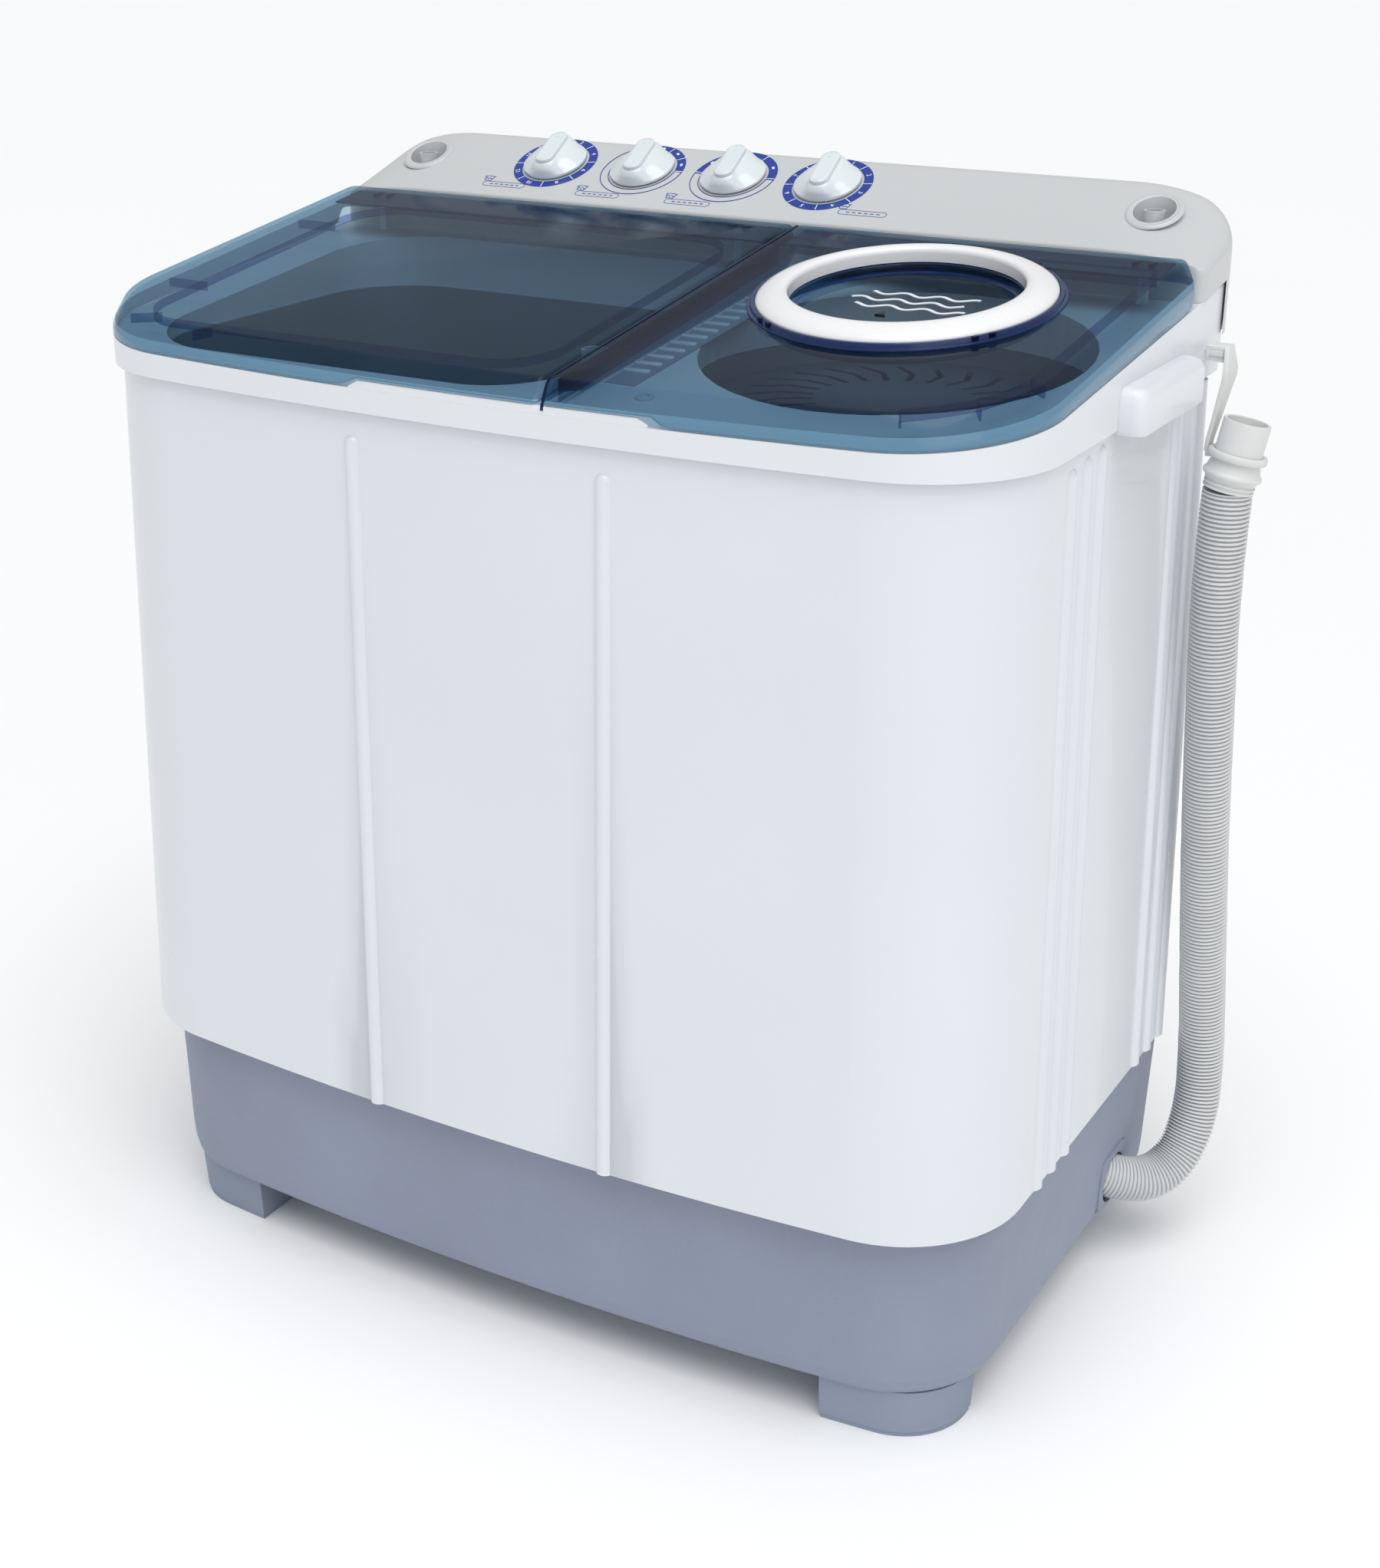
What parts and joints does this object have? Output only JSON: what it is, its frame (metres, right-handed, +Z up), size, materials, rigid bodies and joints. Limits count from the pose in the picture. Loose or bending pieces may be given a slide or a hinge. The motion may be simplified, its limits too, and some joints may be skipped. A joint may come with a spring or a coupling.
{
  "type": "twin tub washer",
  "caption": "Twin tub washing machine: white bowed cabinet on a grey base, two clear blue lids, sloped dial console and a corrugated drain hose on its side hook.",
  "frame": {"origin": "on the floor, under the middle of the cabinet's width and depth, measured without the hose", "axes": "+X towards the spin side (user's right), +Y towards the rear, +Z up"},
  "size_m": [0.8154, 0.458, 0.8544],
  "materials": {
    "base_grey": "fine moulded grain, satin",
    "foot_rubber": "matt",
    "body_white": "smooth injection moulded, semi gloss",
    "frame_white": "smooth injection moulded, semi gloss",
    "console_grey": "pearl grey, semi gloss",
    "lid_blue": "clear dark blue moulded plastic, gloss",
    "ring_white": "gloss",
    "dial_blue": "printed ring, gloss",
    "knob_white": "gloss",
    "tub_plastic": "moulded, satin",
    "pulsator_plastic": "satin",
    "cover_plastic": "satin",
    "hose_plastic": "flexible corrugated plastic",
    "black_plastic": "satin",
    "inner_plastic": "plain moulded",
    "steel": "machined",
    "screw_steel": "zinc plated",
    "sheet_steel": "zinc coated sheet",
    "motor_body": "painted laminations and end caps",
    "cast_metal": "cast, matt",
    "rubber_black": "matt"
  },
  "bodies": {
    "cabinet": {"base_tray": "base_grey", "feet": "base_grey", "foot_pads": "foot_rubber", "cabinet_shell": "body_white", "rear_cover": "body_white", "rear_cover_screws": "screw_steel", "supply_cord_inlet": "black_plastic", "top_frame": "frame_white", "carry_handles": "frame_white", "hose_peg": "frame_white", "lid_hinge_brackets": "frame_white", "console_housing": "console_grey", "dial_rings": "dial_blue", "water_inlets": "inner_plastic", "timers": "black_plastic", "selector_switches": "inner_plastic", "wash_tub": "tub_plastic", "gearbox_housing": "cast_metal", "pulsator_seal": "rubber_black", "motor_mounting_plate": "sheet_steel", "wash_motor": "motor_body", "drive_belt": "rubber_black", "spin_tub": "tub_plastic", "spin_bellows_seal": "rubber_black", "spin_motor": "motor_body", "spin_motor_springs": "rubber_black", "brake_shoe": "rubber_black", "brake_pivot_post": "inner_plastic", "drain_valve_body": "inner_plastic", "drain_pipe": "inner_plastic", "spin_drain_pipe": "inner_plastic", "drain_outlet": "inner_plastic", "lint_filter": "inner_plastic", "water_duct": "inner_plastic", "motor_capacitor": "sheet_steel", "frame_screws": "screw_steel", "drain_hose": "hose_plastic", "hose_cuff": "hose_plastic", "hose_hanger": "hose_plastic"},
    "wash_lid_body": {"wash_lid": "lid_blue", "wash_lid_hinge_pins": "steel"},
    "spin_lid_body": {"spin_lid": "lid_blue", "spin_lid_hinge_pins": "steel", "air_vent_flange": "lid_blue"},
    "air_vent": {"air_vent_ring": "ring_white", "air_vent_dish": "lid_blue"},
    "safety_cover": {"spin_safety_cover": "cover_plastic"},
    "knob_1": {"wash_timer_knob": "knob_white"},
    "knob_2": {"wash_selector_knob": "knob_white"},
    "knob_3": {"drain_selector_knob": "knob_white"},
    "knob_4": {"spin_timer_knob": "knob_white"},
    "pulsator_body": {"pulsator": "pulsator_plastic", "pulsator_shaft": "steel", "wash_pulley": "cast_metal"},
    "motor_rotor": {"motor_pulley": "cast_metal"},
    "spin_rotor": {"spin_basket": "pulsator_plastic", "spin_shaft": "steel", "brake_drum": "cast_metal"},
    "brake": {"brake_lever": "sheet_steel"},
    "drain_plunger": {"drain_valve_plunger": "rubber_black"}
  },
  "joints": [
    {"name": "wash_lid_hinge", "type": "hinge", "parent": "cabinet", "child": "wash_lid_body", "pos_m": [-0.157, 0.129, 0.794], "axis": [-1, 0, 0], "range_deg": [0, 105]},
    {"name": "spin_lid_hinge", "type": "hinge", "parent": "cabinet", "child": "spin_lid_body", "pos_m": [0.212, 0.129, 0.794], "axis": [-1, 0, 0], "range_deg": [0, 105]},
    {"name": "air_vent_turn", "type": "hinge", "parent": "spin_lid_body", "child": "air_vent", "pos_m": [0.21, -0.003, 0.78404], "axis": [0, -0.1392, 0.9903], "range_deg": [0, 36]},
    {"name": "safety_cover_lift", "type": "slide", "parent": "cabinet", "child": "safety_cover", "axis": [0, 0, 1], "range_m": [0, 0.03]},
    {"name": "wash_timer_turn", "type": "hinge", "parent": "cabinet", "child": "knob_1", "pos_m": [-0.1909, 0.188, 0.82693], "axis": [0, 0.4258, -0.9048], "range_deg": [0, 300]},
    {"name": "wash_selector_turn", "type": "hinge", "parent": "cabinet", "child": "knob_2", "pos_m": [-0.1084, 0.188, 0.82693], "axis": [0, 0.4258, -0.9048], "range_deg": [0, 90]},
    {"name": "drain_selector_turn", "type": "hinge", "parent": "cabinet", "child": "knob_3", "pos_m": [-0.0259, 0.188, 0.82693], "axis": [0, 0.4258, -0.9048], "range_deg": [0, 90]},
    {"name": "spin_timer_turn", "type": "hinge", "parent": "cabinet", "child": "knob_4", "pos_m": [0.0566, 0.188, 0.82693], "axis": [0, 0.4258, -0.9048], "range_deg": [0, 300]},
    {"name": "pulsator_spin", "type": "hinge", "parent": "cabinet", "child": "pulsator_body", "pos_m": [-0.143, -0.035, 0.31], "axis": [0, 0, 1], "continuous": true},
    {"name": "motor_pulley_spin", "type": "hinge", "parent": "cabinet", "child": "motor_rotor", "pos_m": [-0.025, 0.075, 0.111], "axis": [0, 0, 1], "continuous": true},
    {"name": "spin_basket_spin", "type": "hinge", "parent": "cabinet", "child": "spin_rotor", "pos_m": [0.214, -0.025, 0.33], "axis": [0, 0, 1], "continuous": true},
    {"name": "brake_lever_swing", "type": "hinge", "parent": "cabinet", "child": "brake", "pos_m": [0.14, 0.011, 0.208], "axis": [0, 0, -1], "range_deg": [0, 20]},
    {"name": "drain_valve_lift", "type": "slide", "parent": "cabinet", "child": "drain_plunger", "axis": [0, 0, 1], "range_m": [0, 0.012]}
  ],
  "couplings": [
    {"joint": "brake_lever_swing", "follows": "spin_lid_hinge", "ratio": 0.19048},
    {"joint": "motor_pulley_spin", "follows": "pulsator_spin", "ratio": 4.0732}
  ]
}
